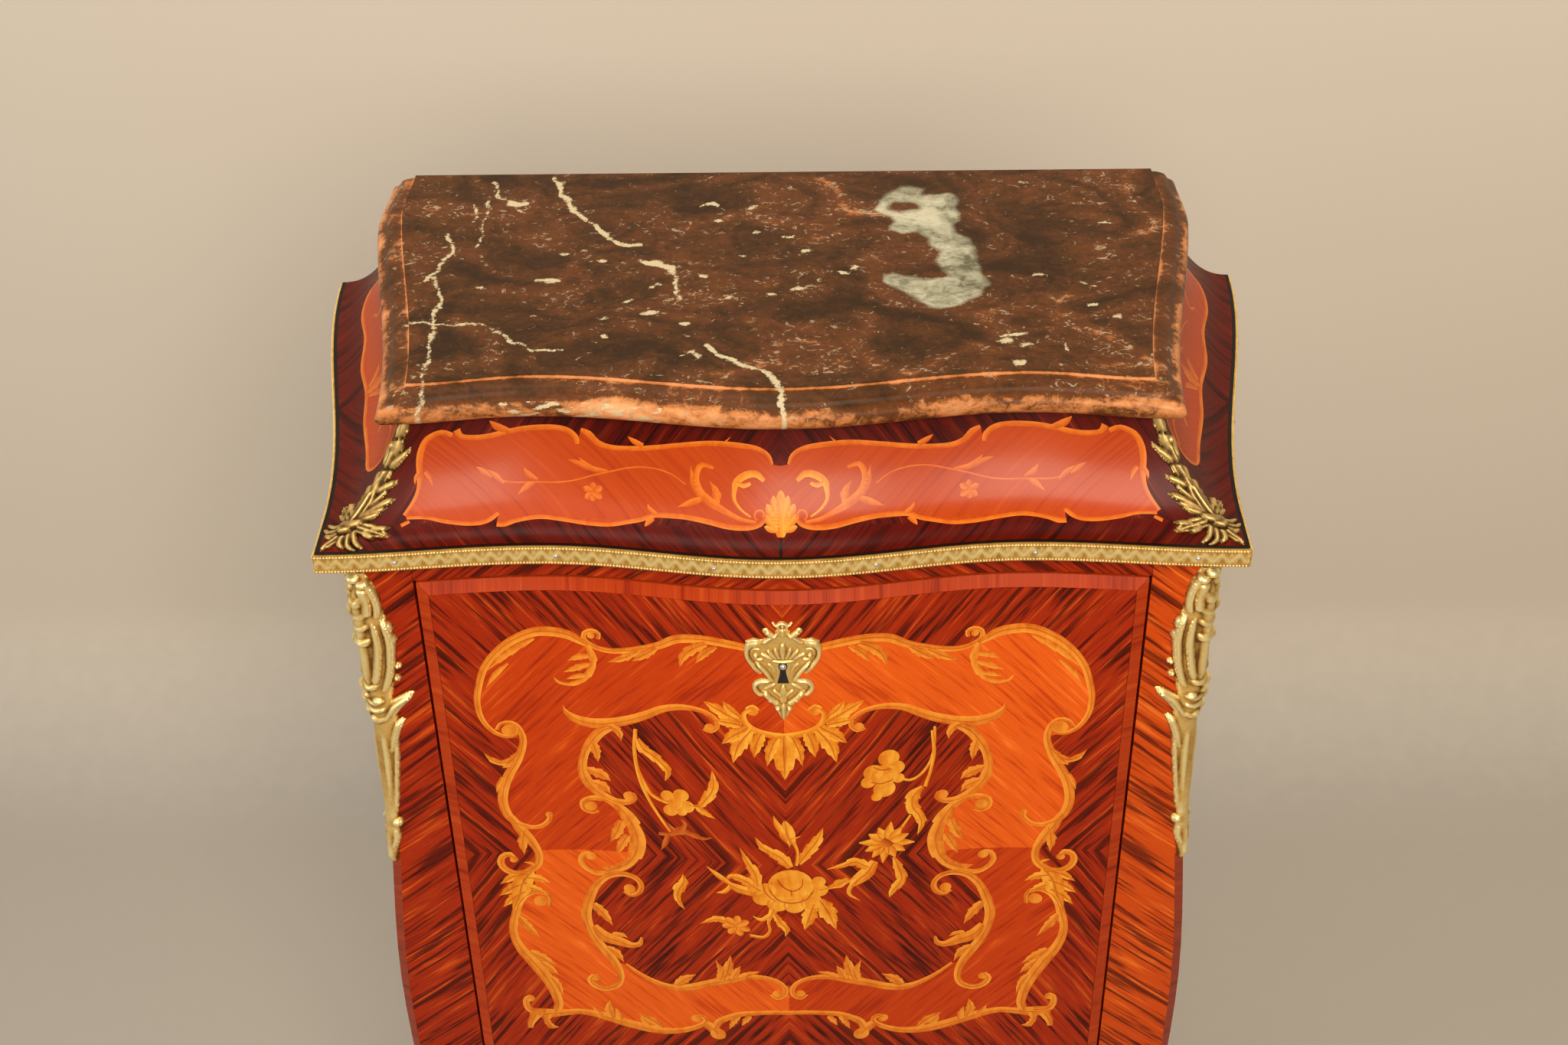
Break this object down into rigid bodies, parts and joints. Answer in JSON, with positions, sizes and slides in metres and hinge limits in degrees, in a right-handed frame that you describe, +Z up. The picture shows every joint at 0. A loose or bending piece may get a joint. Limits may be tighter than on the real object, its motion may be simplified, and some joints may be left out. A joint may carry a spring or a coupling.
{
  "type": "lady's secretary desk",
  "caption": "Serpentine fall-front secretary desk on cabriole legs: moulded marble top, swept frieze, gilt mounts, inlaid fall with a lock, inner drawers and lower drawers.",
  "frame": {"origin": "on the floor under the middle of the desk's box", "axes": "+Z up, the fall front faces -Y, +X to the viewer's right"},
  "size_m": [0.774, 0.4, 1.36],
  "materials": {
    "marble": "polished brown-red marble with pale veins",
    "kingwood": "polished quarter-matched kingwood veneer with inlay",
    "tulipwood": "polished tulipwood banding",
    "oak": "waxed oak",
    "gilt_bronze": "worn gilding on cast bronze",
    "lock_steel": "filed steel",
    "leather": "tooled green writing leather"
  },
  "bodies": {
    "carcass": {"marble_top": "marble", "frieze_front": "kingwood", "frieze_left": "kingwood", "frieze_right": "kingwood", "band_front": "gilt_bronze", "band_left": "gilt_bronze", "band_right": "gilt_bronze", "front_left_post": "kingwood", "front_right_post": "kingwood", "left_shoe": "gilt_bronze", "right_shoe": "gilt_bronze", "back_left_post": "oak", "back_right_post": "oak", "left_side_panel": "kingwood", "right_side_panel": "kingwood", "back_panel": "oak", "top_rail": "kingwood", "fall_rail": "kingwood", "drawer_divider": "oak", "bottom_board": "oak", "apron": "kingwood", "top_board": "oak", "desk_floor": "oak", "left_lining": "oak", "right_lining": "oak", "pigeonhole_shelf": "oak", "left_divider": "oak", "right_divider": "oak", "left_hinge_rail_leaf": "gilt_bronze", "right_hinge_rail_leaf": "gilt_bronze", "strike_plate": "gilt_bronze", "left_corner_chute": "gilt_bronze", "right_corner_chute": "gilt_bronze", "left_frieze_spray": "gilt_bronze", "right_frieze_spray": "gilt_bronze"},
    "fall": {"fall_field": "kingwood", "fall_border_top": "tulipwood", "fall_border_bottom": "tulipwood", "fall_border_left": "tulipwood", "fall_border_right": "tulipwood", "writing_leather": "leather", "left_hinge_fall_leaf": "gilt_bronze", "right_hinge_fall_leaf": "gilt_bronze", "left_quadrant_stay": "gilt_bronze", "right_quadrant_stay": "gilt_bronze", "lock_case": "lock_steel", "fall_escutcheon": "gilt_bronze"},
    "bolt": {"lock_bolt": "lock_steel"},
    "upper_drawer": {"upper_drawer_front": "kingwood", "upper_drawer_box": "oak", "upper_drawer_escutcheon": "gilt_bronze"},
    "lower_drawer": {"lower_drawer_front": "kingwood", "lower_drawer_box": "oak", "lower_drawer_escutcheon": "gilt_bronze"},
    "left_inner_drawer": {"small_drawer_left": "tulipwood", "small_knob_left": "gilt_bronze"},
    "middle_inner_drawer": {"small_drawer_middle": "tulipwood", "small_knob_middle": "gilt_bronze"},
    "right_inner_drawer": {"small_drawer_right": "tulipwood", "small_knob_right": "gilt_bronze"}
  },
  "joints": [
    {"name": "fall_hinge", "type": "hinge", "parent": "carcass", "child": "fall", "pos_m": [0, -0.1856, 0.6654], "axis": [1, 0, 0], "range_deg": [0, 90]},
    {"name": "bolt_slide", "type": "slide", "parent": "fall", "child": "bolt", "axis": [0, 0, 1], "range_m": [0, 0.01]},
    {"name": "upper_drawer_slide", "type": "slide", "parent": "carcass", "child": "upper_drawer", "axis": [0, -1, 0], "range_m": [0, 0.24]},
    {"name": "lower_drawer_slide", "type": "slide", "parent": "carcass", "child": "lower_drawer", "axis": [0, -1, 0], "range_m": [0, 0.24]},
    {"name": "left_inner_drawer_slide", "type": "slide", "parent": "carcass", "child": "left_inner_drawer", "axis": [0, -1, 0], "range_m": [0, 0.12]},
    {"name": "middle_inner_drawer_slide", "type": "slide", "parent": "carcass", "child": "middle_inner_drawer", "axis": [0, -1, 0], "range_m": [0, 0.12]},
    {"name": "right_inner_drawer_slide", "type": "slide", "parent": "carcass", "child": "right_inner_drawer", "axis": [0, -1, 0], "range_m": [0, 0.12]}
  ]
}
